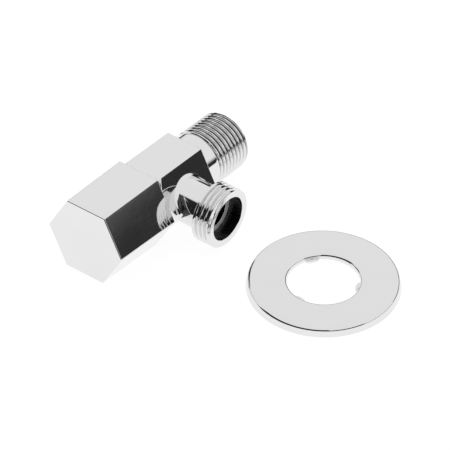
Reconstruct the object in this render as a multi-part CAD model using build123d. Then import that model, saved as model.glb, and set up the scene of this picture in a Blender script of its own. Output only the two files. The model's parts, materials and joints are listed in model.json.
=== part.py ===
from build123d import *
import math
import os

# An angle stop valve lying on the floor, with its cover flange lying beside it.
# Millimetres, +Z up, floor at z = 0, +X along the outlet, +Y from the handle to the inlet.
# The valve is modelled standing on its own axis: +Z from the handle to the inlet, zero at the
# body's front face, +X along the outlet. lay_down then puts each piece on the floor.

# G1/2 pipe thread, on the inlet and on the outlet
thread_major_r = 20.955 / 2
thread_crest_r = 20.90 / 2      # the crest stands just inside the major diameter
thread_root_r = 18.631 / 2
thread_pitch = 1.814
thread_crest_w = 0.42
thread_flank_deg = 27.5

# body, a hexagonal bar with an edge towards the outlet
body_flats = 24.0
body_length = 24.0
body_chamfer_face_r = 11.7      # radius left on the front face by the corner chamfer
body_chamfer_length = 2.55      # length of that chamfer along a corner

# inlet
inlet_neck_length = 6.3
inlet_thread_length = 16.5
inlet_end_chamfer = 0.9
inlet_bore_r = 7.3
inlet_bore_floor = 23.0         # height at which the bore meets the passage to the seat

# outlet
outlet_height = 12.06
outlet_reach = 27.78
outlet_neck_r = 7.87
outlet_collar_length = 7.12
outlet_land = 0.8               # plain stretch of the collar beside the neck
outlet_end_chamfer = 0.35
outlet_mouth_r = 7.7
outlet_mouth_depth = 5.4
outlet_bore_r = 5.7
outlet_bore_floor = 14.0        # distance from the valve axis at which the bore narrows
outlet_port_r = 4.6

# cartridge seat in the body
chamber_r = 9.0
seat_height = 17.6
seat_passage_r = 4.2
ring_recess_r = 9.85
ring_recess_depth = 2.0

# clearances
thread_clearance = 0.05         # between a screwed piece and its thread's bore
slip = 0.05                     # between pieces that push together by hand
shaft_clearance = 0.05          # running clearance of the spindle
free_gap = 0.3                  # between pieces that turn past each other
handle_gap = 0.5                # between the handle and the body

# cartridge housing
bonnet_flats = 17.0
bonnet_hex_height = 6.0
bonnet_neck_r = 6.0
bonnet_neck_height = 3.0
cage_r = 8.0
cage_wall = 1.5
cage_end_gap = 0.6              # from the cage's end to the seat
cage_top = 4.9                  # where the cage's inside begins
bonnet_thread_end = 8.0
window_low, window_high = 8.6, 11.2
window_deg = 110.0
stop_deg = 50.0
stop_height = 1.5               # how far the two stops stand in from the cage's inside
key_width = 3.0

# spindle
spindle_r = 4.0
spindle_top = 20.5              # how far the spline's tip stands before the body
spline_length = 8.0
spline_teeth = 20
spline_depth = 0.35
shoulder_top, shoulder_bottom = 6.2, 8.2
turn_deg = 90.0
stop_margin_deg = 0.5
prong_width, prong_thickness = 2.0, 1.5
prong_edge_gap = 0.7            # between the prongs and the cage's inside
prong_grip = 1.0                # how deep the prongs reach into the disc
ring_section_r = 0.55           # the two spindle rings
ring_groove_width = 1.5
ring_heights = {"spindle_o_ring_outer": -6.6, "spindle_o_ring_inner": -3.0}
clip_height = 0.7
clip_groove_r = 3.3
clip_outer_r = 5.6
clip_opening = 5.0

# ceramic discs, seal and rings
moving_disc_top, discs_meet, fixed_disc_bottom = 11.4, 13.4, 16.0
port_inner_r, port_outer_r, port_deg = 1.4, 4.1, 76.0
seal_inner_r = 4.9
support_ring_wall = 0.65
support_ring_short = 0.2
bonnet_ring_section_r = 0.78

# handle, a hexagonal sleeve with a little draft
handle_length = 27.34
handle_flats_rear = 27.1
handle_flats_front = 26.2
handle_edge_r = 0.45
handle_cavity_r = 10.6
handle_front_wall = 4.0
handle_boss_r = 7.0
grub_screw_r = 2.0
grub_screw_length = 8.0
grub_socket_flats = 2.0
grub_socket_depth = 2.2

# cover flange, a pressed sheet ring with three spring tabs
flange_centre = (63.57, 17.60)  # from the point under the handle's resting edge
flange_base_r = 25.37
flange_top_r = 24.68
flange_height = 2.87
flange_sheet = 0.6
flange_lip_r = 11.95
flange_lip_end = 0.9            # height of the lip's lower edge
flange_edge_r = 0.75
tab_width = 6.4
tab_reach_r = 10.65
tab_corner_r = 1.2
tab_angles = (24.5, 144.5, 264.5)

# worked out from the sizes above
body_corner_r = body_flats / math.sqrt(3)
inlet_end = body_length + inlet_neck_length + inlet_thread_length
handle_rear_z = -handle_gap
handle_front_z = -handle_gap - handle_length
cage_inner_r = cage_r - cage_wall
cage_end = seat_height - cage_end_gap
stop_r = cage_inner_r - stop_height
prong_to = cage_inner_r - prong_edge_gap
prong_from = prong_to - prong_thickness
bonnet_bore_r = spindle_r + shaft_clearance
bonnet_top = -bonnet_hex_height - bonnet_neck_height
moving_disc_r = cage_inner_r - free_gap
lobe_deg = 180.0 - stop_deg - turn_deg - 2 * stop_margin_deg
lobe_angle = 45.0               # middle of a lobe with the valve shut
spline_end = -spindle_top + spline_length
handle_boss_end = spline_end - slip


def rod(radius, low, high):
    return Pos(0, 0, low) * Cylinder(radius, high - low, align=(Align.CENTER, Align.CENTER, Align.MIN))


def tube(outer_r, inner_r, low, high):
    return rod(outer_r, low, high) - rod(inner_r, low - 1, high + 1)


def cone(low_r, high_r, low, high):
    return Pos(0, 0, low) * Cone(low_r, high_r, high - low, align=(Align.CENTER, Align.CENTER, Align.MIN))


def hex_bar(flats, low, high):
    corner_r = flats / math.sqrt(3)
    return Pos(0, 0, low) * extrude(RegularPolygon(corner_r, 6), high - low)


# a slice of a ring, its middle at an angle
def sector(outer_r, inner_r, low, high, middle_deg, width_deg):
    outer = outer_r / math.cos(math.radians(width_deg / 4))
    angles = [middle_deg + width_deg * step for step in (-0.5, -0.25, 0, 0.25, 0.5)]
    points = [(0, 0)] + [(2 * outer * math.cos(math.radians(a)), 2 * outer * math.sin(math.radians(a)))
                         for a in angles]
    wedge = Pos(0, 0, low) * extrude(make_face(Polyline(*points, close=True)), high - low)
    return wedge & tube(outer_r, inner_r, low, high)


# a male thread from z = 0, its last turns cut by the end chamfer
def male_thread(length, chamfer):
    low_r = thread_root_r - 0.1
    flank = (thread_crest_r - low_r) * math.tan(math.radians(thread_flank_deg))
    half_crest = thread_crest_w / 2
    helix = Helix(thread_pitch, length + thread_pitch, low_r, center=(0, 0, -thread_pitch / 2))
    start = helix @ 0
    section = make_face(Polyline(
        (low_r, start.Z - half_crest - flank),
        (thread_crest_r, start.Z - half_crest),
        (thread_crest_r, start.Z + half_crest),
        (low_r, start.Z + half_crest + flank),
        close=True,
    ))
    section = Plane.XZ * section
    ridge = sweep(section, path=helix, is_frenet=True)
    over = thread_crest_r + 1
    envelope = rod(over, -thread_pitch, length - chamfer - 1)
    envelope += cone(over, over - (chamfer + 1), length - chamfer - 1, length)
    return (rod(thread_root_r, -0.5, length + thread_pitch) + ridge) & envelope


def make_body():
    body = hex_bar(body_flats, 0, body_length)
    slope = (body_corner_r - body_chamfer_face_r) / body_chamfer_length
    reach = body_chamfer_face_r + slope * body_length
    body &= cone(body_chamfer_face_r, reach, 0, body_length)

    body += rod(thread_major_r, body_length - 1, body_length + inlet_neck_length)
    body += Pos(0, 0, body_length + inlet_neck_length) * male_thread(inlet_thread_length, inlet_end_chamfer)

    collar_start = outlet_reach - outlet_collar_length
    outlet = rod(outlet_neck_r, 0, collar_start + 0.5)
    outlet += rod(thread_major_r, collar_start, collar_start + outlet_land)
    outlet += Pos(0, 0, collar_start + outlet_land) * male_thread(
        outlet_collar_length - outlet_land, outlet_end_chamfer)
    to_outlet = Pos(0, 0, outlet_height) * Rot(0, 90, 0)
    body += to_outlet * outlet

    hollow = rod(ring_recess_r, -1, ring_recess_depth) + rod(chamber_r, 0, seat_height)
    hollow += rod(seat_passage_r, seat_height - 1, inlet_bore_floor + 1)
    hollow += rod(inlet_bore_r, inlet_bore_floor, inlet_end + 1)
    outlet_hollow = rod(outlet_port_r, 0, outlet_reach)
    outlet_hollow += rod(outlet_bore_r, outlet_bore_floor, outlet_reach)
    outlet_hollow += rod(outlet_mouth_r, outlet_reach - outlet_mouth_depth, outlet_reach + 1)
    return body - hollow - to_outlet * outlet_hollow


def make_bonnet():
    bonnet = hex_bar(bonnet_flats, -bonnet_hex_height, 0) + rod(bonnet_neck_r, bonnet_top, 0)
    ring_seat_r = ring_recess_r - 2 * bonnet_ring_section_r - 2 * slip
    bonnet += rod(ring_seat_r, 0, ring_recess_depth)
    bonnet += rod(chamber_r - thread_clearance, ring_recess_depth, bonnet_thread_end)
    bonnet += rod(cage_r, 0, cage_end)
    bonnet -= rod(bonnet_bore_r, bonnet_top - 1, cage_top + 1)
    bonnet -= rod(cage_inner_r, cage_top, cage_end + 1)
    for side in (0, 180):
        bonnet -= sector(cage_r + 2, cage_inner_r - 1, window_low, window_high, side, window_deg)
        bonnet += sector(cage_inner_r + 0.5, stop_r, shoulder_top + slip, shoulder_bottom, side + 90, stop_deg)
    key_slot = Box(key_width + 2 * slip, 3 * cage_r, cage_end + 1 - discs_meet)
    return bonnet - Pos(0, 0, (cage_end + 1 + discs_meet) / 2) * key_slot


def make_spline(grow, low, high):
    tip_r = spindle_r - shaft_clearance + grow
    points = []
    for tooth in range(spline_teeth):
        for part, radius in ((0, tip_r), (0.5, tip_r - spline_depth)):
            angle = 2 * math.pi * (tooth + part) / spline_teeth
            points.append((radius * math.cos(angle), radius * math.sin(angle)))
    return Pos(0, 0, low) * extrude(make_face(Polyline(*points, close=True)), high - low)


def make_spindle():
    spindle = make_spline(0, -spindle_top, spline_end) + rod(spindle_r, spline_end, shoulder_top)
    groove_r = spindle_r + shaft_clearance - 2 * ring_section_r - 0.05
    for height in ring_heights.values():
        half = ring_groove_width / 2
        spindle -= tube(spindle_r + 1, groove_r, height - half, height + half)
    spindle -= tube(spindle_r + 1, clip_groove_r, bonnet_top - slip - clip_height - slip, bonnet_top - slip)
    spindle += rod(stop_r - free_gap, shoulder_top, shoulder_bottom)
    for side in (0, 180):
        angle = lobe_angle + side
        spindle += sector(cage_inner_r - free_gap, stop_r - free_gap - 1, shoulder_top, shoulder_bottom,
                          angle, lobe_deg)
        spindle += make_prong(angle, 0)
    return spindle


def make_prong(angle, grow):
    length = moving_disc_top + prong_grip - shoulder_bottom + 0.5
    prong = Box(prong_to - prong_from + 2 * grow, prong_width + 2 * grow, length)
    middle = moving_disc_top + prong_grip + grow - length / 2
    return Rot(0, 0, angle) * Pos((prong_to + prong_from) / 2, 0, middle) * prong


def make_o_ring(inner_r, section_r, height):
    return Pos(0, 0, height) * Torus(inner_r + section_r, section_r)


def make_clip():
    low = bonnet_top - slip - clip_height - slip / 2
    clip = tube(clip_outer_r, clip_groove_r + slip, low, low + clip_height)
    return clip - Pos(0, -clip_outer_r, low + clip_height / 2) * Box(clip_opening, 2 * clip_outer_r, 2)


def make_moving_disc():
    disc = rod(moving_disc_r, moving_disc_top, discs_meet)
    for side in (0, 180):
        disc -= sector(port_outer_r, port_inner_r, moving_disc_top - 1, discs_meet + 1,
                       lobe_angle + 90 + side, port_deg)
        disc -= make_prong(lobe_angle + side, slip)
    return disc


def make_fixed_disc():
    disc = rod(cage_inner_r - 2 * slip, discs_meet, fixed_disc_bottom)
    key = Box(key_width, 2 * (cage_r - free_gap), fixed_disc_bottom - discs_meet)
    disc += Pos(0, 0, (fixed_disc_bottom + discs_meet) / 2) * key
    for side in (0, 180):
        disc -= sector(port_outer_r, port_inner_r, discs_meet - 1, fixed_disc_bottom + 1,
                       lobe_angle + side, port_deg)
    return disc


def make_handle():
    rear = Pos(0, 0, handle_rear_z) * RegularPolygon(handle_flats_rear / math.sqrt(3), 6)
    front = Pos(0, 0, handle_front_z) * RegularPolygon(handle_flats_front / math.sqrt(3), 6)
    handle = loft(Sketch() + [front, rear])
    handle = fillet(handle.faces().sort_by(Axis.Z)[0].edges(), handle_edge_r)
    cavity_end = handle_front_z + handle_front_wall
    handle -= rod(handle_cavity_r, cavity_end, handle_rear_z + 1)
    handle += rod(handle_boss_r, cavity_end - 1, handle_boss_end)
    handle -= make_spline(slip, -spindle_top - slip, handle_boss_end + 1)
    return handle - grub_axis() * rod(grub_screw_r + thread_clearance, spindle_r - 1, handle_flats_rear)


# the grub screw's axis runs out through the flat that faces the floor
def grub_axis():
    return Pos(0, 0, (handle_boss_end - spindle_top) / 2) * Rot(-90, 0, 0)


def make_grub_screw():
    low = spindle_r + slip
    high = low + grub_screw_length
    screw = rod(grub_screw_r, low, high)
    screw = chamfer(screw.edges().filter_by(GeomType.CIRCLE), 0.3)
    return grub_axis() * (screw - hex_bar(grub_socket_flats, high - grub_socket_depth, high + 1))


def make_flange():
    inner_top = flange_height - flange_sheet
    side_in = (flange_base_r - flange_top_r) * inner_top / flange_height
    outline = make_face(Polyline(
        (flange_lip_r, flange_lip_end),
        (flange_lip_r, flange_height),
        (flange_top_r, flange_height),
        (flange_base_r, 0),
        (flange_base_r - flange_sheet, 0),
        (flange_base_r - flange_sheet - side_in, inner_top),
        (flange_lip_r + flange_sheet, inner_top),
        (flange_lip_r + flange_sheet, flange_lip_end),
        close=True,
    ))
    corners = outline.vertices().sort_by(Axis.Y)
    outline = fillet(corners[-2:], flange_edge_r)
    inner_corners = [v for v in outline.vertices() if abs(v.Y - inner_top) < 0.01]
    outline = fillet(inner_corners, flange_edge_r - flange_sheet)
    flange = revolve(Plane.XZ * outline, Axis.Z)

    bend_r = flange_lip_r * math.cos(math.asin(tab_width / 2 / flange_lip_r))
    tab = Rectangle(bend_r + flange_sheet - tab_reach_r, tab_width, align=(Align.MIN, Align.CENTER))
    tab = fillet(tab.vertices().sort_by(Axis.X)[:2], tab_corner_r)
    tab = extrude(tab, flange_sheet)
    for angle in tab_angles:
        flange += Rot(0, 0, angle) * Pos(tab_reach_r, 0, flange_lip_end) * tab
    return flange


# The valve rests on the lower edge of the handle's rear end, and then on the lower edge of the
# body's rear end or on the last crest of the inlet, whichever meets the floor first.
rest_height = handle_flats_rear / 2
body_edge_tilt = math.atan2(rest_height - body_flats / 2, body_length + handle_gap)
crest_tilt = math.atan2(rest_height - thread_crest_r, inlet_end - inlet_end_chamfer + handle_gap)
tilt = min(body_edge_tilt, crest_tilt)
low_y = -handle_length * math.cos(tilt) + (rest_height - handle_flats_front / 2) * math.sin(tilt)
end_r = thread_crest_r - inlet_end_chamfer
high_y = (inlet_end + handle_gap) * math.cos(tilt) + (rest_height + end_r) * math.sin(tilt)
low_x = -handle_flats_rear / math.sqrt(3)
high_x = flange_centre[0] + flange_base_r
to_centre = Pos(-(low_x + high_x) / 2, -(low_y + high_y) / 2, 0)
lay_down = to_centre * Rot(-math.degrees(tilt), 0, 0) * Pos(0, handle_gap, rest_height) * Rot(-90, 0, 0)

ring_inner_r = spindle_r + shaft_clearance - 2 * ring_section_r - 0.02
pieces = {
    "valve_body": make_body(),
    "bonnet": make_bonnet(),
    "bonnet_o_ring": make_o_ring(ring_recess_r - slip - 2 * bonnet_ring_section_r, bonnet_ring_section_r,
                                 ring_recess_depth / 2),
    "glide_washer": tube(cage_inner_r - 2 * slip, spindle_r + 2 * slip, cage_top, shoulder_top),
    "fixed_disc": make_fixed_disc(),
    "seat_seal": tube(cage_inner_r - 2 * slip, seal_inner_r, fixed_disc_bottom, seat_height),
    "seal_support_ring": tube(seal_inner_r - slip, seal_inner_r - slip - support_ring_wall,
                              fixed_disc_bottom, seat_height - support_ring_short),
    "spindle": make_spindle(),
    "retaining_clip": make_clip(),
    "rotating_disc": make_moving_disc(),
    "handle": make_handle(),
    "grub_screw": make_grub_screw(),
}
for name, height in ring_heights.items():
    pieces[name] = make_o_ring(ring_inner_r, ring_section_r, height)

os.makedirs("parts", exist_ok=True)
for name, piece in pieces.items():
    export_step(lay_down * piece, "parts/" + name + ".step")
export_step(to_centre * Pos(*flange_centre, 0) * make_flange(), "parts/flange.step")
print("tilt", round(math.degrees(tilt), 3), "centre", to_centre.position)
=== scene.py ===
import json
import bmesh
import bpy
from math import atan2, ceil, cos, hypot, pi, radians, sin, sqrt, tan
from mathutils import Matrix, Vector


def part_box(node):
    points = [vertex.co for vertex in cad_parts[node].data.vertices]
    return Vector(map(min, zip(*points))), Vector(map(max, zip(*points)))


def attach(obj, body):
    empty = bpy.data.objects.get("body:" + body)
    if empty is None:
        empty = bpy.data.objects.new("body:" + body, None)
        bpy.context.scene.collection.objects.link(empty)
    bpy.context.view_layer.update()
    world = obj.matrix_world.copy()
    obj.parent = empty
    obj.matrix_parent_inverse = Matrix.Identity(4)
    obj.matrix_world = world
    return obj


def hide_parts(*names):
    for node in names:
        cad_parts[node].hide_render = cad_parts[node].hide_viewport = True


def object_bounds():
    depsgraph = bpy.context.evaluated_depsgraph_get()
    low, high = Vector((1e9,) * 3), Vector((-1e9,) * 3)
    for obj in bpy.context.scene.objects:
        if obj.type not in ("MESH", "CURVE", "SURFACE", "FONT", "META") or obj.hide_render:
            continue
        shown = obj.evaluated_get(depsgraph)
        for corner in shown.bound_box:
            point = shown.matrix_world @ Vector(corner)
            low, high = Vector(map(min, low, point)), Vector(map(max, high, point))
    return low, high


# Angle stop valve lying on its handle and body, with its cover flange beside it.
# The valve's own shapes are drawn in millimetres, standing on the valve's axis: +Z from the
# handle to the inlet, zero at the body's front face, +X along the outlet, +Y towards the floor.

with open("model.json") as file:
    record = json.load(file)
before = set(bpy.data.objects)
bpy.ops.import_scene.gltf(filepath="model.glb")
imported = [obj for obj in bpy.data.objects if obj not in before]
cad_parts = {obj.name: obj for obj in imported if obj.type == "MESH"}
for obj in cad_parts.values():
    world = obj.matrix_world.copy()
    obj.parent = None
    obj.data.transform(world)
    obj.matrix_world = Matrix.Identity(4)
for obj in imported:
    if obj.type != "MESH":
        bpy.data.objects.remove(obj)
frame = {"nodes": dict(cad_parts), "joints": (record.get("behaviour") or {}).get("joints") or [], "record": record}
cadLow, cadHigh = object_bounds()
record = frame["record"]
nodes = frame["nodes"]
mounts = {mount["name"]: mount for mount in record["mounts"]}
print("frame loaded,", len(nodes), "nodes")


# one output of a node, so that sums can be written as plain expressions
class Wire:
    def __init__(self, bench, socket):
        self.bench, self.socket = bench, socket

    def maths(self, operation, *values):
        places = {place: value for place, value in enumerate(values)}
        return self.bench.node("ShaderNodeMath", {"operation": operation}, places)

    def __add__(self, other):
        return self.maths("ADD", self, other)

    def __radd__(self, other):
        return self.maths("ADD", other, self)

    def __sub__(self, other):
        return self.maths("SUBTRACT", self, other)

    def __rsub__(self, other):
        return self.maths("SUBTRACT", other, self)

    def __mul__(self, other):
        return self.maths("MULTIPLY", self, other)

    def __rmul__(self, other):
        return self.maths("MULTIPLY", other, self)

    def __truediv__(self, other):
        return self.maths("DIVIDE", self, other)

    def __rtruediv__(self, other):
        return self.maths("DIVIDE", other, self)

    def root(self):
        return self.maths("SQRT", self)

    def least(self, other):
        return self.maths("MINIMUM", self, other)

    def span(self, low, high, start, end, shape="LINEAR"):
        return self.bench.node("ShaderNodeMapRange", {"interpolation_type": shape}, {
            "Value": self, "From Min": low, "From Max": high, "To Min": start, "To Max": end})


# a node tree, and the one way that nodes are put in it
class Bench:
    def __init__(self, tree):
        self.tree = tree

    def node(self, kind, settings=None, sockets=None, out=0):
        made = self.tree.nodes.new(kind)
        for name, value in (settings or {}).items():
            if name == "stops":
                ramp = made.color_ramp.elements
                while len(ramp) < len(value):
                    ramp.new(1.0)
                for stop, (place, tone) in zip(ramp, value):
                    stop.position = place
                    stop.color = (tone, tone, tone, 1.0)
            else:
                setattr(made, name, value)
        for name, value in (sockets or {}).items():
            if isinstance(value, Wire):
                self.tree.links.new(value.socket, made.inputs[name])
            else:
                made.inputs[name].default_value = value
        return Wire(self, made.outputs[out])

    def split(self, wire):
        made = self.node("ShaderNodeSeparateXYZ", None, {"Vector": wire})
        return [Wire(self, socket) for socket in made.socket.node.outputs]

    def blend(self, factor, first, second):
        tones = [value if isinstance(value, Wire) else (*value, 1.0) for value in (first, second)]
        places = {0: factor, 6: tones[0], 7: tones[1]}
        return self.node("ShaderNodeMix", {"data_type": "RGBA"}, places, 2)


# a material, its bench, its object coordinates, and a call that wires colour, roughness, bump
def newMaterial(name, metallic, **fixed):
    material = bpy.data.materials.new(name)
    material.use_nodes = True
    bench = Bench(material.node_tree)
    shader = material.node_tree.nodes["Principled BSDF"]
    shader.inputs["Metallic"].default_value = metallic
    for socket, value in fixed.items():
        shader.inputs[socket.replace("_", " ")].default_value = value
    place = bench.node("ShaderNodeTexCoord", None, None, "Object")

    def feed(colour, roughness, height=None, strength=0.2, depth=0.00005):
        links = material.node_tree.links
        links.new(colour.socket, shader.inputs["Base Color"])
        links.new(roughness.socket, shader.inputs["Roughness"])
        if height is not None:
            bump = bench.node("ShaderNodeBump", None, {
                "Strength": strength, "Distance": depth, "Height": height})
            links.new(bump.socket, shader.inputs["Normal"])

    return material, bench, place, feed


chromeLook = {
    "tone": (0.80, 0.80, 0.803),
    "deepTone": (0.785, 0.785, 0.79),
    "polish": 0.035,
    "haze": 0.02,
    "hazeSize": 0.011,
    "rippleSize": 0.0022,
    "speckSize": 0.0009,
    "hairScale": (90.0, 90.0, 2600.0),
    # the groove tone and its height range paint shade into the thread grooves, darker higher above the floor
    "dirtTone": (0.10, 0.10, 0.105), "dirtFrom": 0.0115, "dirtFull": 0.0165,
}


# plated metal; with a shade tone, the depth of a thread's groove darkens it, and more so higher above the floor:
# painted shade
def makeChrome(name, look, dirtTone=None):
    material, bench, place, feed = newMaterial(name, 1.0)
    cloud = bench.node("ShaderNodeTexNoise", None, {
        "Vector": place, "Scale": 1 / look["hazeSize"], "Detail": 3.0, "Roughness": 0.6})
    ripple = bench.node("ShaderNodeTexNoise", None, {
        "Vector": place, "Scale": 1 / look["rippleSize"], "Detail": 1.0})
    stretched = bench.node("ShaderNodeMapping", None, {
        "Vector": place, "Scale": look["hairScale"]})
    hairline = bench.node("ShaderNodeTexNoise", None, {
        "Vector": stretched, "Scale": 1.0, "Detail": 2.0})
    specks = bench.node("ShaderNodeTexVoronoi", {"feature": "F1"}, {
        "Vector": place, "Scale": 1 / look["speckSize"]}, "Distance")
    pit = specks.span(0.05, 0.11, 1.0, 0.0, "SMOOTHSTEP") * cloud.span(0.52, 0.62, 0.0, 1.0)
    colour = bench.blend(cloud.span(0.35, 0.75, 0.0, 1.0), look["tone"], look["deepTone"])
    rough = look["polish"] + look["haze"] * cloud.span(0.4, 0.8, 0.0, 1.0)
    rough = rough + 0.02 * hairline.span(0.55, 0.75, 0.0, 1.0) + 0.12 * pit
    # painted shade: deeper thread points darken, and less so near the floor
    if dirtTone:
        groove = bench.node("ShaderNodeAttribute", {"attribute_name": "groove"}, None, "Fac")
        height = bench.split(place)[2]
        shadeMask = groove.span(0.16, 0.7, 0.0, 0.85, "SMOOTHSTEP")
        shadeMask = shadeMask * height.span(look["dirtFrom"], look["dirtFull"], 0.2, 1.0)
        colour = bench.blend(shadeMask, colour, dirtTone)
        rough = rough + 0.22 * shadeMask
    feed(colour, rough, ripple + 0.06 * hairline - 0.5 * pit, 0.06, 0.00002)
    return material


# the bore tone is near black as painted shade inside the water ways and hollows; the ledge is its pale copy
boreLook = {"tone": (0.10, 0.10, 0.10), "stain": (0.05, 0.05, 0.05), "ringPitch": 0.00035,
            "rough": 0.2, "metal": 1.0, "cloudScale": 420.0}
ledgeLook = {"tone": (0.95, 0.95, 0.94), "stain": (0.80, 0.80, 0.79), "ringPitch": 0.00050,
             "rough": 0.4, "metal": 0.25, "cloudScale": 420.0}


# how far each point lies along an axis, and its distance from the axis
def aboutAxis(bench, place, axisPoint, axis, least):
    away = bench.node("ShaderNodeVectorMath", {"operation": "SUBTRACT"}, {
        0: place, 1: tuple(axisPoint)})
    along = bench.node("ShaderNodeVectorMath", {"operation": "DOT_PRODUCT"}, {
        0: away, 1: tuple(axis)}, "Value")
    reach = bench.node("ShaderNodeVectorMath", {"operation": "LENGTH"}, {0: away}, "Value")
    return along, (reach * reach - along * along + least).root()


def makeBore(name, look, axisPoint, axis):
    material, bench, place, feed = newMaterial(name, look["metal"])
    along, across = aboutAxis(bench, place, axisPoint, axis, 0.0000001)
    cloud = bench.node("ShaderNodeTexNoise", None, {
        "Vector": place, "Scale": look["cloudScale"], "Detail": 5.0})
    wobble = (along + across) / look["ringPitch"] + 1.5 * cloud
    rings = (wobble * (2 * pi)).maths("SINE", wobble * (2 * pi))
    colour = bench.blend(cloud.span(0.4, 0.7, 0.0, 1.0), look["tone"], look["stain"])
    feed(colour, look["rough"] + 0.15 * cloud, rings, 0.15, 0.00001)
    return material


brassLook = {"tone": (0.78, 0.60, 0.30), "dull": (0.60, 0.45, 0.22), "cutPitch": 0.00018}
steelLook = {"tone": (0.56, 0.56, 0.57), "dull": (0.42, 0.42, 0.43), "cutPitch": 0.0003}


def makeTurned(name, look, axisPoint, axis):
    material, bench, place, feed = newMaterial(name, 1.0)
    along, across = aboutAxis(bench, place, axisPoint, axis, 0.0)
    cloud = bench.node("ShaderNodeTexNoise", None, {"Vector": place, "Scale": 300.0, "Detail": 4.0})
    turn = ((along + across) / look["cutPitch"] + cloud) * (2 * pi)
    cut = turn.maths("SINE", turn)
    colour = bench.blend(cloud.span(0.35, 0.75, 0.0, 1.0), look["tone"], look["dull"])
    feed(colour, 0.2 + 0.15 * cloud + 0.04 * cut, cut, 0.25, 0.00001)
    return material


rubberLook = {"tone": (0.018, 0.018, 0.019), "shade": (0.05, 0.05, 0.05),
              "grain": 0.0004, "rough": 0.45, "depth": 0.00002}
plasticLook = {"tone": (0.80, 0.79, 0.75), "shade": (0.70, 0.69, 0.64),
               "grain": 0.0006, "rough": 0.35, "depth": 0.00002}
ceramicLook = {"tone": (0.84, 0.82, 0.78), "shade": (0.74, 0.72, 0.68),
               "grain": 0.0002, "rough": 0.12, "depth": 0.000004}


def makeMoulded(name, look):
    material, bench, place, feed = newMaterial(name, 0.0)
    cloud = bench.node("ShaderNodeTexNoise", None, {"Vector": place, "Scale": 260.0, "Detail": 4.0})
    fine = bench.node("ShaderNodeTexNoise", None, {
        "Vector": place, "Scale": 1 / look["grain"], "Detail": 2.0})
    colour = bench.blend(cloud.span(0.45, 0.75, 0.0, 1.0), look["tone"], look["shade"])
    feed(colour, look["rough"] + 0.2 * fine, fine, 0.3, look["depth"])
    return material


turnJoint = next(joint for joint in frame["joints"] if joint["name"] == "handle_turn")
alongAxis = -Vector(turnJoint["axis"]).normalized()
outletAxis = Vector(mounts["outlet_seat"]["axis"]).normalized()
downAxis = alongAxis.cross(outletAxis)

bodyShape = {
    "flats": 24.0, "length": 24.0, "edge": 0.32,
    "faceRadius": 11.7, "chamferLength": 2.55,
    "neckRadius": 10.4775, "neckLength": 6.3, "threadLength": 16.5, "endChamfer": 0.9,
    "boreRadius": 7.3, "chamberRadius": 9.0, "seatHeight": 17.6, "passageRadius": 4.2,
    "recessRadius": 9.85, "recessDepth": 2.0, "recessBevel": 0.15,
    "rearEdge": 0.25, "neckFillet": 0.3, "mouthEdge": 0.3,
}
threadShape = {"crest": 10.45, "root": 9.3155, "pitch": 1.814, "rootFlat": 0.16, "flank": 0.62,
               "rowsPerTurn": 16}
outletShape = {
    "height": 12.06, "reach": 27.78, "neckRadius": 7.87, "collar": 7.12, "land": 0.8,
    "endChamfer": 0.35, "mouthRadius": 7.7, "mouthDepth": 5.4, "boreRadius": 5.7,
    "boreFloor": 14.0, "portRadius": 4.6, "portStart": 3.0, "rootInside": 9.2, "fillet": 1.6,
    "collarFillet": 0.25, "collarEdge": 0.3, "grooveShade": 0.3, "columns": 128,
}

inletEnd = bodyShape["length"] + bodyShape["neckLength"] + bodyShape["threadLength"]
inletBore = mounts["inlet_bore"]
boreFloor = inletEnd - inletBore["dims"]["length_mm"]
origin = Vector(inletBore["pos_m"]) - alongAxis * (inletEnd + boreFloor) / 2000
facing = Matrix((outletAxis, downAxis, alongAxis)).transposed().to_4x4()
layDown = Matrix.Translation(origin) @ facing @ Matrix.Scale(0.001, 4)
outletPoint = layDown @ Vector((0, 0, outletShape["height"]))

chrome = makeChrome("polishedChrome", chromeLook)
threadChrome = makeChrome("threadedChrome", chromeLook, chromeLook["dirtTone"])
innerBore = makeBore("innerBore", boreLook, outletPoint, outletAxis)
machinedLedge = makeBore("machinedLedge", ledgeLook, outletPoint, outletAxis)
brass = makeTurned("turnedBrass", brassLook, origin, alongAxis)
steel = makeTurned("plainSteel", steelLook, origin, alongAxis)
rubber = makeMoulded("blackRubber", rubberLook)
plastic = makeMoulded("paleNylon", plasticLook)
ceramic = makeMoulded("lappedCeramic", ceramicLook)
print("finishes made")


# a hexagon's outline with rounded corners, the same number of columns whatever its size
def hexOutline(flats, edge, flatSteps=16, cornerSteps=4):
    points = []
    centre = (flats / 2 - edge) / cos(radians(30))
    for corner in range(6):
        middle = radians(60 * corner)
        base = Vector((centre * cos(middle), centre * sin(middle)))
        for step in range(cornerSteps + 1):
            turn = middle + radians(-30 + 60 * step / cornerSteps)
            normal = Vector((cos(turn), sin(turn)))
            points.append((base + normal * edge, normal))
        normal = Vector((cos(middle + radians(30)), sin(middle + radians(30))))
        start = points[-1][0]
        following = radians(60 * corner + 60)
        end = Vector((centre * cos(following), centre * sin(following))) + normal * edge
        for step in range(1, flatSteps):
            points.append((start.lerp(end, step / flatSteps), normal))
    return points


def hexRow(outline, height, inset=0.0):
    return [(p.x - n.x * inset, p.y - n.y * inset, height) for p, n in outline]


def roundRow(directions, radius, height):
    return [(radius * cos(turn), radius * sin(turn), height) for turn in directions]


def evenTurns(count):
    return [2 * pi * step / count for step in range(count)]


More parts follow.
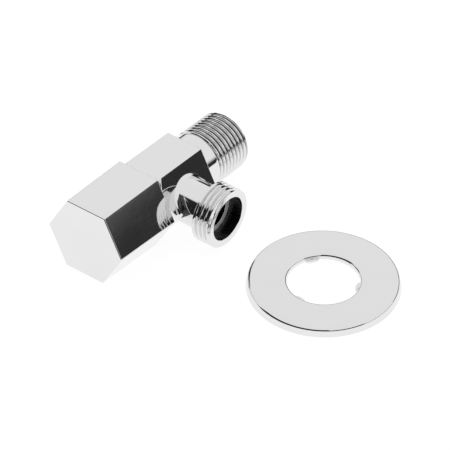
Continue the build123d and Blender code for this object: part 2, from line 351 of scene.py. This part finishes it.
# joins rows of points into a chrome skin: a ring of rows, or a tube with a face over each end
def skin(name, rows, looped):
    mesh = bpy.data.meshes.new(name)
    shape = bmesh.new()
    rings = [[shape.verts.new(point) for point in row] for row in rows]
    count = len(rings[0])
    pairs = list(zip(rings, rings[1:])) + ([(rings[-1], rings[0])] if looped else [])
    for first, second in pairs:
        for here in range(count):
            after = (here + 1) % count
            shape.faces.new((first[here], first[after], second[after], second[here]))
    if not looped:
        shape.faces.new(rings[0])
        shape.faces.new(rings[-1])
    bmesh.ops.remove_doubles(shape, verts=shape.verts, dist=0.0005)
    bmesh.ops.recalc_face_normals(shape, faces=shape.faces)
    shape.to_mesh(mesh)
    shape.free()
    mesh.materials.append(chrome)
    piece = bpy.data.objects.new(name, mesh)
    bpy.context.scene.collection.objects.link(piece)
    return piece


# replaces an object's mesh with what its modifiers make of it
def settle(piece):
    bpy.context.view_layer.update()
    graph = bpy.context.evaluated_depsgraph_get()
    seen = piece.evaluated_get(graph)
    mesh = bpy.data.meshes.new_from_object(seen, preserve_all_data_layers=True, depsgraph=graph)
    piece.modifiers.clear()
    old = piece.data
    piece.data = mesh
    bpy.data.meshes.remove(old)


def combine(piece, other, operation):
    step = piece.modifiers.new(operation.lower(), "BOOLEAN")
    step.operation = operation
    step.solver = "MANIFOLD"
    step.object = other
    settle(piece)
    gone = other.data
    bpy.data.objects.remove(other)
    bpy.data.meshes.remove(gone)


# smooth shading that keeps flats flat and creases sharp
def polish(piece, crease=28):
    shape = bmesh.new()
    shape.from_mesh(piece.data)
    bmesh.ops.remove_doubles(shape, verts=shape.verts, dist=0.0008)
    bmesh.ops.dissolve_degenerate(shape, edges=shape.edges, dist=0.0004)
    bmesh.ops.recalc_face_normals(shape, faces=shape.faces)
    for face in shape.faces:
        face.smooth = True
    shape.to_mesh(piece.data)
    shape.free()
    piece.data.set_sharp_from_angle(angle=radians(crease))
    weighting = piece.modifiers.new("weighting", "WEIGHTED_NORMAL")
    weighting.mode = "FACE_AREA"
    weighting.weight = 80
    weighting.keep_sharp = True
    settle(piece)


# a quarter circle as pairs of inset and drop, from the side to the end
def quarterSteps(radius, steps=4):
    return [(radius * (1 - cos(pi / 2 * k / steps)), radius * (1 - sin(pi / 2 * k / steps)))
            for k in range(steps + 1)]


def addSocket(tree, name, kind, inward=True):
    return tree.interface.new_socket(name, in_out="INPUT" if inward else "OUTPUT", socket_type=kind)


# presses a helical groove into the outside of a round piece that stands on +Z
def buildThreadTree():
    tree = bpy.data.node_groups.new("threadCutter", "GeometryNodeTree")
    addSocket(tree, "Geometry", "NodeSocketGeometry")
    for name in ("Pitch", "Crest Radius", "Root Radius", "Root Flat", "Flank", "Start", "Run In"):
        addSocket(tree, name, "NodeSocketFloat")
    addSocket(tree, "Finish", "NodeSocketMaterial")
    addSocket(tree, "Geometry", "NodeSocketGeometry", False)
    bench = Bench(tree)
    given = tree.nodes.new("NodeGroupInput")
    size = {socket.name: Wire(bench, socket) for socket in given.outputs if socket.name}
    x, y, z = bench.split(bench.node("GeometryNodeInputPosition"))
    radius = (x * x + y * y).root()
    turn = y.maths("ARCTAN2", y, x) / (2 * pi)
    climb = (z - size["Start"]) / size["Pitch"] - turn
    away = climb.maths("FRACT", climb) - 0.5
    away = away.maths("ABSOLUTE", away) * size["Pitch"]
    flatEnd = size["Root Flat"] / 2
    flankEnd = flatEnd + size["Flank"]
    curved = away.span(flatEnd, flankEnd, 1.0, 0.0, "SMOOTHSTEP")
    straight = away.span(flatEnd, flankEnd, 1.0, 0.0)
    cut = curved * 0.6 + straight * 0.4
    fade = (z - size["Start"]).span(0.0, size["Run In"], 0.0, 1.0, "SMOOTHSTEP")
    depth = size["Crest Radius"] - size["Root Radius"]
    target = size["Crest Radius"] - depth * cut * fade
    scale = radius.least(target) / radius
    moved = bench.node("ShaderNodeCombineXYZ", None, {"X": x * scale, "Y": y * scale, "Z": z})
    pastStart = bench.node("FunctionNodeCompare", {"operation": "GREATER_THAN"}, {
        0: z, 1: size["Start"]})
    onOutside = bench.node("FunctionNodeCompare", {"operation": "GREATER_THAN"}, {
        0: radius, 1: size["Root Radius"] - 0.02})
    chosen = bench.node("FunctionNodeBooleanMath", {"operation": "AND"}, {
        0: pastStart, 1: onOutside})
    shaped = bench.node("GeometryNodeSetPosition", None, {
        "Geometry": size["Geometry"], "Selection": chosen, "Position": moved})
    plain = bench.node("GeometryNodeRealizeInstances", None, {"Geometry": shaped})
    painted = bench.node("GeometryNodeSetMaterial", None, {
        "Geometry": plain, "Material": size["Finish"]})
    result = tree.nodes.new("NodeGroupOutput")
    tree.links.new(painted.socket, result.inputs["Geometry"])
    return tree


def runTree(piece, tree, values):
    step = piece.modifiers.new(tree.name, "NODES")
    step.node_group = tree
    for item in tree.interface.items_tree:
        if item.item_type == "SOCKET" and item.in_out == "INPUT" and item.name in values:
            step[item.identifier] = values[item.name]
    settle(piece)


threadTree = buildThreadTree()


def cutThread(piece, start, runIn):
    runTree(piece, threadTree, {
        "Pitch": threadShape["pitch"], "Crest Radius": threadShape["crest"],
        "Root Radius": threadShape["root"], "Root Flat": threadShape["rootFlat"],
        "Flank": threadShape["flank"], "Start": start, "Run In": runIn, "Finish": threadChrome})


# rows fine enough to show a thread's shape
def threadRows(directions, start, end, radius):
    count = ceil((end - start) / (threadShape["pitch"] / threadShape["rowsPerTurn"]))
    return [roundRow(directions, radius, start + (end - start) * step / count)
            for step in range(count + 1)]


# the outlet neck's root: in each direction an arc that touches the neck and the body's flat
def filletRows(ring, flats, neck, fillet, sink=0.02, steps=7):
    rows = []
    for step in range(steps, -1, -1):
        row = []
        for turn in ring:
            lean = tan(radians(30)) * abs(sin(turn))
            meet = flats / sqrt(3) - lean * neck
            sweep = atan2(1, lean)
            swept = sweep * step / steps
            reach = neck + fillet * (1 - cos(swept))
            height = meet + fillet * (tan(sweep / 2) - sin(swept)) - sink * step / steps
            row.append((reach * cos(turn), reach * sin(turn), height))
        rows.append(row)
    inward = [(x * 0.98, y * 0.98, z - 0.9) for x, y, z in rows[0]]
    return [inward] + rows


# the hexagon, inlet and water ways as one turned skin, then the outlet's arm and its bore
def makeValveBody(shape, outlet):
    outline = hexOutline(shape["flats"], shape["edge"])
    turns = [atan2(point.y, point.x) for point, normal in outline]
    corner = shape["flats"] / sqrt(3)
    slope = (corner - shape["faceRadius"]) / shape["chamferLength"]
    recess, bevel = shape["recessRadius"], shape["recessBevel"]
    rows = [roundRow(turns, recess, bevel), roundRow(turns, recess + bevel, 0)]
    rows.append(roundRow(turns, shape["faceRadius"] - 0.1, 0))
    rows.append(roundRow(turns, shape["faceRadius"] + 0.06 * slope, 0.06))
    low, high = [], []
    for point, normal in outline:
        meet = (point.length - shape["faceRadius"]) / slope
        below = max(0.09, meet - 0.12)
        reach = min(point.length, shape["faceRadius"] + slope * below) / point.length
        low.append((point.x * reach, point.y * reach, below))
        high.append((point.x, point.y, meet + 0.14))
    rows += [low, high]
    end = shape["length"]
    for inset, drop in quarterSteps(shape["rearEdge"]):
        rows.append(hexRow(outline, end - drop, inset))
    neck = shape["neckRadius"]
    for inset, rise in reversed(quarterSteps(shape["neckFillet"])):
        rows.append(roundRow(turns, neck + inset, end + rise))
    start = end + shape["neckLength"]
    rows.append(roundRow(turns, neck, start - 0.9))
    chamfer = shape["endChamfer"]
    rows += threadRows(turns, start - 0.3, inletEnd - chamfer, threadShape["crest"])
    for step in range(1, 8):
        cut = chamfer * step / 7
        rows.append(roundRow(turns, threadShape["crest"] - cut, inletEnd - chamfer + cut))
    rows.append(roundRow(turns, threadShape["root"] - 0.1, inletEnd))
    bore = shape["boreRadius"]
    for inset, drop in reversed(quarterSteps(shape["mouthEdge"])):
        rows.append(roundRow(turns, bore + inset, inletEnd - drop))
    rows.append(roundRow(turns, bore, boreFloor))
    rows.append(roundRow(turns, shape["passageRadius"], boreFloor))
    rows.append(roundRow(turns, shape["passageRadius"], shape["seatHeight"]))
    rows.append(roundRow(turns, shape["chamberRadius"], shape["seatHeight"]))
    rows.append(roundRow(turns, shape["chamberRadius"], shape["recessDepth"]))
    rows.append(roundRow(turns, recess, shape["recessDepth"]))
    body = skin("valveBody", rows, True)
    cutThread(body, start - 0.2, 1.5)

    ring = evenTurns(outlet["columns"])
    face = outlet["reach"] - outlet["collar"]
    rows = [roundRow(ring, outlet["neckRadius"] - 0.5, outlet["rootInside"])]
    rows += filletRows(ring, shape["flats"], outlet["neckRadius"], outlet["fillet"])
    for inset, rise in quarterSteps(outlet["collarFillet"]):
        rows.append(roundRow(ring, outlet["neckRadius"] + inset, face - rise))
    for inset, rise in quarterSteps(outlet["collarEdge"]):
        rows.append(roundRow(ring, neck - rise, face + inset))
    landEnd = face + outlet["land"]
    rows.append(roundRow(ring, neck, landEnd - 0.1))
    chamfer = outlet["endChamfer"]
    rows += threadRows(ring, landEnd, outlet["reach"] - chamfer, threadShape["crest"])
    for step in range(1, 5):
        cut = chamfer * step / 4
        rows.append(roundRow(ring, threadShape["crest"] - cut, outlet["reach"] - chamfer + cut))
    rows.append(roundRow(ring, threadShape["root"] - 0.08, outlet["reach"]))
    arm = skin("outletArm", rows, False)
    cutThread(arm, landEnd, 0.5)

    mouth, ledge = outlet["reach"], outlet["reach"] - outlet["mouthDepth"]
    wide, narrow, port = outlet["mouthRadius"], outlet["boreRadius"], outlet["portRadius"]
    floor = outlet["boreFloor"]
    profile = [(port, outlet["portStart"]), (port, floor), (narrow, floor), (narrow, ledge),
               (wide, ledge), (wide, mouth - 0.16), (wide + 0.03, mouth - 0.08),
               (wide + 0.1, mouth + 0.01), (wide + 0.5, mouth + 0.2), (wide + 0.5, mouth + 1.5)]
    rows = [roundRow(ring, radius, height) for radius, height in profile]
    cutter = skin("waterWay", rows, False)
    toOutlet = Matrix.Translation((0, 0, outlet["height"])) @ Matrix.Rotation(pi / 2, 4, "Y")
    arm.data.transform(toOutlet)
    cutter.data.transform(toOutlet)
    combine(body, arm, "UNION")
    combine(body, cutter, "DIFFERENCE")
    finishBody(body, shape, outlet)
    return body


def setFinishes(piece, *materials):
    piece.data.materials.clear()
    for material in materials:
        piece.data.materials.append(material)


# sorts the faces by finish and stores how deep each point lies in a thread; that depth paints shade into the
# grooves
def finishBody(body, shape, outlet):
    setFinishes(body, chrome, threadChrome, innerBore, machinedLedge)
    polish(body)
    mesh = body.data
    depth = threadShape["crest"] - threadShape["root"]
    start = shape["length"] + shape["neckLength"] - 0.2
    armStart = outlet["reach"] - outlet["collar"] + outlet["land"]
    groove = mesh.attributes.new("groove", "FLOAT", "POINT")
    for vertex in mesh.vertices:
        x, y, z = vertex.co
        onArm = x > armStart
        radius = hypot(y, z - outlet["height"]) if onArm else hypot(x, y) if z > start else 99.0
        if threadShape["root"] - 0.05 < radius < threadShape["crest"]:
            share = outlet["grooveShade"] if onArm else 1.0
            groove.data[vertex.index].value = share * (threadShape["crest"] - radius) / depth
    plain, threaded, bored, ledged = range(4)
    threadFrom = threadShape["root"] - 0.15
    for face in mesh.polygons:
        corners = [mesh.vertices[index].co for index in face.vertices]
        fromAxis = max(hypot(corner.x, corner.y) for corner in corners)
        fromArm = max(hypot(corner.y, corner.z - outlet["height"]) for corner in corners)
        x, y, z = face.center
        inArm = x > shape["chamberRadius"] + 0.3 and z < shape["length"]
        inChamber = z < shape["seatHeight"] + 0.5 and fromAxis < shape["recessRadius"] + 0.05
        finish = plain
        # faces in the bores take the near-black finish, painted shade
        if inArm and fromArm < outlet["mouthRadius"] + 0.06:
            onLedge = face.normal.x > 0.9 and x > outlet["boreFloor"] + 0.5
            finish = ledged if onLedge else bored
            if x < outlet["reach"] - outlet["collar"] and fromArm > outlet["boreRadius"] + 0.3:
                finish = plain
        elif fromAxis < shape["boreRadius"] + 0.4 or inChamber:
            finish = bored
        elif z > start and hypot(x, y) > threadFrom:
            finish = threaded
        elif x > armStart and hypot(y, z - outlet["height"]) > threadFrom:
            finish = threaded
        face.material_index = finish
    mesh.transform(layDown)


valveBody = makeValveBody(bodyShape, outletShape)
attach(valveBody, "valve")
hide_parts("valve_body")
print("valve body made,", len(valveBody.data.polygons), "faces")


handleShape = {
    "rearFlats": 27.1, "frontFlats": 26.2, "length": 27.34, "gap": 0.5, "edge": 0.6,
    "frontEdge": 0.45, "rearEdge": 0.2, "cavityRadius": 10.6, "frontWall": 4.0,
    "bossRadius": 7.0, "bossEnd": -12.55, "shaftRadius": 4.0, "shaftEnd": -20.55,
    "screwRadius": 2.05, "screwHeight": -16.525, "screwHole": (2.5, 16.0), "screwColumns": 40,
    "frontMiddle": 9.0, "cavityEdge": 0.2,
}


# the sleeve round the cartridge, a little wider at its rear; its rear rim and inside take the near-black bore
# finish as painted shade
def makeHandle(shape):
    rear, front = -shape["gap"], -shape["gap"] - shape["length"]

    def outlineAt(height):
        share = (height - front) / (rear - front)
        widening = shape["rearFlats"] - shape["frontFlats"]
        return hexOutline(shape["frontFlats"] + widening * share, shape["edge"])

    turns = [atan2(point.y, point.x) for point, normal in outlineAt(rear)]
    rows = [roundRow(turns, shape["frontMiddle"], front)]
    for inset, rise in reversed(quarterSteps(shape["frontEdge"])):
        rows.append(hexRow(outlineAt(front + rise), front + rise, inset))
    for inset, drop in quarterSteps(shape["rearEdge"]):
        rows.append(hexRow(outlineAt(rear - drop), rear - drop, inset))
    cavity = shape["cavityRadius"]
    for inset, drop in reversed(quarterSteps(shape["cavityEdge"])):
        rows.append(roundRow(turns, cavity + inset, rear - drop))
    floor = front + shape["frontWall"]
    rows.append(roundRow(turns, cavity, floor))
    rows.append(roundRow(turns, shape["bossRadius"], floor))
    rows.append(roundRow(turns, shape["bossRadius"], shape["bossEnd"]))
    rows.append(roundRow(turns, shape["shaftRadius"], shape["bossEnd"]))
    rows.append(roundRow(turns, shape["shaftRadius"], shape["shaftEnd"]))
    handle = skin("handleSleeve", rows, False)
    ring = evenTurns(shape["screwColumns"])
    rows = [roundRow(ring, shape["screwRadius"], reach) for reach in shape["screwHole"]]
    screwHole = skin("screwHole", rows, False)
    toFloor = Matrix.Translation((0, 0, shape["screwHeight"])) @ Matrix.Rotation(-pi / 2, 4, "X")
    screwHole.data.transform(toFloor)
    combine(handle, screwHole, "DIFFERENCE")
    polish(handle)
    setFinishes(handle, chrome, innerBore)
    # the rear rim and the cavity take the near-black bore finish as painted shade
    for face in handle.data.polygons:
        atRear = face.center.z > rear - 0.1 and face.normal.z > 0.9
        inside = hypot(face.center.x, face.center.y) < cavity and face.center.z > floor - 0.1
        face.material_index = 1 if atRear or inside else 0
    handle.data.transform(layDown)
    return handle


handleSleeve = makeHandle(handleShape)
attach(handleSleeve, "turning_set")
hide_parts("handle")
print("handle made,", len(handleSleeve.data.polygons), "faces")


flangeShape = {
    "baseRadius": 25.37, "topRadius": 24.68, "height": 2.87, "sheet": 0.6, "rim": 0.12,
    "lipRadius": 11.95, "lipEnd": 0.9, "edge": 1.15,
    "tabWidth": 5.6, "tabReach": 10.65, "tabCorner": 2.1, "tabCount": 3, "firstTab": 24.5,
    "tabEdge": 0.1, "columns": 192,
}


# a profile of (radius, height, rounding) with its corners rounded
def softProfile(corners, steps=6):
    points = []
    for place, (radius, height, rounding) in enumerate(corners):
        here = Vector((radius, height))
        before = Vector(corners[place - 1][:2]) - here
        after = Vector(corners[(place + 1) % len(corners)][:2]) - here
        half = before.angle(after) / 2
        cutBack = rounding / tan(half)
        before.normalize()
        after.normalize()
        middle = here + (before + after).normalized() * rounding / sin(half)
        first, last = here + before * cutBack, here + after * cutBack
        for step in range(steps + 1):
            way = (first - middle).slerp(last - middle, step / steps)
            points.append(middle + way.normalized() * rounding)
    return points


# sets copies of one spring tab evenly round the flange's hole
def buildTabTree():
    tree = bpy.data.node_groups.new("springTabs", "GeometryNodeTree")
    addSocket(tree, "Geometry", "NodeSocketGeometry")
    addSocket(tree, "Count", "NodeSocketInt")
    addSocket(tree, "First Turn", "NodeSocketFloat")
    addSocket(tree, "Finish", "NodeSocketMaterial")
    addSocket(tree, "Geometry", "NodeSocketGeometry", False)
    bench = Bench(tree)
    given = tree.nodes.new("NodeGroupInput")
    size = {socket.name: Wire(bench, socket) for socket in given.outputs if socket.name}
    spots = bench.node("GeometryNodePoints", None, {"Count": size["Count"]})
    number = bench.node("GeometryNodeInputIndex")
    turn = number * (2 * pi) / size["Count"] + size["First Turn"]
    facing = bench.node("ShaderNodeCombineXYZ", None, {"Z": turn})
    placed = bench.node("GeometryNodeInstanceOnPoints", None, {
        "Points": spots, "Instance": size["Geometry"], "Rotation": facing})
    plain = bench.node("GeometryNodeRealizeInstances", None, {"Geometry": placed})
    painted = bench.node("GeometryNodeSetMaterial", None, {
        "Geometry": plain, "Material": size["Finish"]})
    result = tree.nodes.new("NodeGroupOutput")
    tree.links.new(painted.socket, result.inputs["Geometry"])
    return tree


# a turned sheet with a rolled outer rim and an inner lip that carries the spring tabs
def makeFlange(shape):
    top = shape["height"] - shape["sheet"]
    lean = (shape["baseRadius"] - shape["topRadius"]) * top / shape["height"]
    lip, sheet, edge, rim = shape["lipRadius"], shape["sheet"], shape["edge"], shape["rim"]
    base = shape["baseRadius"]
    corners = [
        (lip, shape["lipEnd"], rim), (lip, shape["height"], edge),
        (shape["topRadius"], shape["height"], edge), (base, 0, rim),
        (base - sheet, 0, rim), (base - sheet - lean, top, edge - sheet),
        (lip + sheet, top, edge - sheet), (lip + sheet, shape["lipEnd"], rim)]
    ring = evenTurns(shape["columns"])
    rows = [roundRow(ring, point.x, point.y) for point in softProfile(corners)]
    flange = skin("coverFlange", rows, True)

    bend = sqrt(lip * lip - shape["tabWidth"] ** 2 / 4) + sheet * 0.6
    half, corner = shape["tabWidth"] / 2, shape["tabCorner"]
    outline = [(bend, half), (bend, -half)]
    for side in (-1, 1):
        turns = [radians(15 * step) for step in range(7)]
        arc = [(shape["tabReach"] + corner * (1 - cos(turn)),
                side * (half - corner * (1 - sin(turn)))) for turn in turns]
        outline += list(reversed(arc)) if side < 0 else arc
    tabRows = [[(x, y, shape["lipEnd"] + lift) for x, y in outline] for lift in (0.02, sheet)]
    tab = skin("springTab", tabRows, False)
    soften = tab.modifiers.new("soften", "BEVEL")
    soften.width = shape["tabEdge"]
    soften.segments = 2
    soften.limit_method = "ANGLE"
    settle(tab)
    runTree(tab, buildTabTree(), {
        "Count": shape["tabCount"], "First Turn": radians(shape["firstTab"]), "Finish": chrome})
    combine(flange, tab, "UNION")
    polish(flange)
    low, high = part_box("flange")
    centre = (low + high) / 2
    flange.data.transform(Matrix.Translation((centre.x, centre.y, 0)) @ Matrix.Scale(0.001, 4))
    return flange


coverFlange = makeFlange(flangeShape)
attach(coverFlange, "cover_flange")
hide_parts("flange")
print("cover flange made,", len(coverFlange.data.polygons), "faces")


finishes = {"brass": brass, "brushed_steel": steel, "steel": steel, "rubber": rubber,
            "plastic": plastic, "ceramic": ceramic}
replaced = ("valve_body", "handle", "flange")
for subpart in record["subparts"]:
    if subpart["node"] in replaced:
        continue
    for materialSlot in nodes[subpart["node"]].material_slots:
        materialSlot.material = finishes[subpart["material_slot"]]
print("cartridge finished")


# flags are black cards round the valve: direction of the middle in degrees, half width in
# degrees, and the height of the top edge as the upward part of a unit direction
studio = {
    "floorReach": 6.0, "floorGlow": 0.93, "floorTone": 0.12,
    "horizonTone": 0.03, "bandTop": 0.092, "bandSoft": 0.05, "skyTone": 0.91, "skyLow": 0.95,
    "flags": [(-98.0, 56.0, 0.75), (-30.0, 38.0, 0.5), (95.0, 42.0, 0.32)],
    "flagSoft": 0.08, "flagTone": 0.02,
    "lampPower": 3.0, "lampSize": 1.6, "lampPlace": (-0.3, -0.2, 1.8),
}


def makeFloor(settings):
    reach = settings["floorReach"]
    mesh = bpy.data.meshes.new("studioFloor")
    corners = [(-reach, -reach, 0), (reach, -reach, 0), (reach, reach, 0), (-reach, reach, 0)]
    mesh.from_pydata(corners, [], [(0, 1, 2, 3)])
    floor = bpy.data.objects.new("studioFloor", mesh)
    bpy.context.scene.collection.objects.link(floor)
    tone, glow = settings["floorTone"], settings["floorGlow"]
    material, bench, place, feed = newMaterial("paleFloor", 0.0, Emission_Strength=1.0)
    cloud = bench.node("ShaderNodeTexNoise", None, {"Vector": place, "Scale": 3.0})
    shader = material.node_tree.nodes["Principled BSDF"]
    shader.inputs["Specular IOR Level"].default_value = 0.0
    shader.inputs["Emission Color"].default_value = (glow, glow, glow, 1.0)
    feed(bench.blend(cloud, (tone, tone, tone), (tone * 1.02,) * 3), 0.9 + 0.02 * cloud)
    mesh.materials.append(material)


# a pale room with a dark band at the horizon and the flags in front of it
def makeWorld(settings):
    world = bpy.data.worlds.new("studioRoom")
    bpy.context.scene.world = world
    world.use_nodes = True
    bench = Bench(world.node_tree)
    across, along, upward = bench.split(bench.node("ShaderNodeTexCoord", None, None, "Generated"))
    dark, top, soft = settings["horizonTone"], settings["bandTop"], settings["bandSoft"]
    tone = bench.node("ShaderNodeValToRGB", {"stops": [
        (0.0, dark), (top, dark), (top + soft, settings["skyLow"] * 0.6),
        (top + 3 * soft, settings["skyLow"]), (0.75, settings["skyTone"])]}, {"Fac": upward})
    flat = (across * across + along * along + 0.0001).root()
    blur = settings["flagSoft"]
    for middle, half, height in settings["flags"]:
        facing = radians(middle)
        toFlag = (across * cos(facing) + along * sin(facing)) / flat
        edge = cos(radians(half))
        flag = toFlag.span(edge, edge + blur, 0.0, 1.0, "SMOOTHSTEP")
        flag = flag * upward.span(height - blur, height, 1.0, 0.0, "SMOOTHSTEP")
        tone = bench.blend(flag, tone, (settings["flagTone"],) * 3)
    background = world.node_tree.nodes["Background"]
    world.node_tree.links.new(tone.socket, background.inputs["Color"])


def makeLamp(settings):
    lamp = bpy.data.lights.new("softBox", "AREA")
    lamp.shape = "SQUARE"
    lamp.size = settings["lampSize"]
    lamp.energy = settings["lampPower"]
    holder = bpy.data.objects.new("softBox", lamp)
    holder.location = settings["lampPlace"]
    holder.visible_glossy = False
    bpy.context.scene.collection.objects.link(holder)


cameraView = {"azimuth": 37.417, "elevation": 40.103, "distance": 1.082217, "lens": 260.775,
              "aimX": -0.016945, "aimY": 0.011590}


def makeCamera(settings):
    turn, lift = radians(settings["azimuth"]), radians(settings["elevation"])
    back = Vector((sin(turn) * cos(lift), -cos(turn) * cos(lift), sin(lift)))
    centre = (cadLow + cadHigh) / 2
    aim = Vector((centre.x + settings["aimX"], centre.y + settings["aimY"], cadLow.z))
    camera = bpy.data.cameras.new("studioCamera")
    camera.lens = settings["lens"]
    camera.sensor_width = 36.0
    camera.clip_start = 0.05
    holder = bpy.data.objects.new("studioCamera", camera)
    holder.location = aim + back * settings["distance"]
    holder.rotation_euler = back.to_track_quat("Z", "Y").to_euler()
    bpy.context.scene.collection.objects.link(holder)
    bpy.context.scene.camera = holder


makeFloor(studio)
makeWorld(studio)
makeLamp(studio)
makeCamera(cameraView)
bpy.context.scene.view_settings.view_transform = "Standard"
print("studio made")
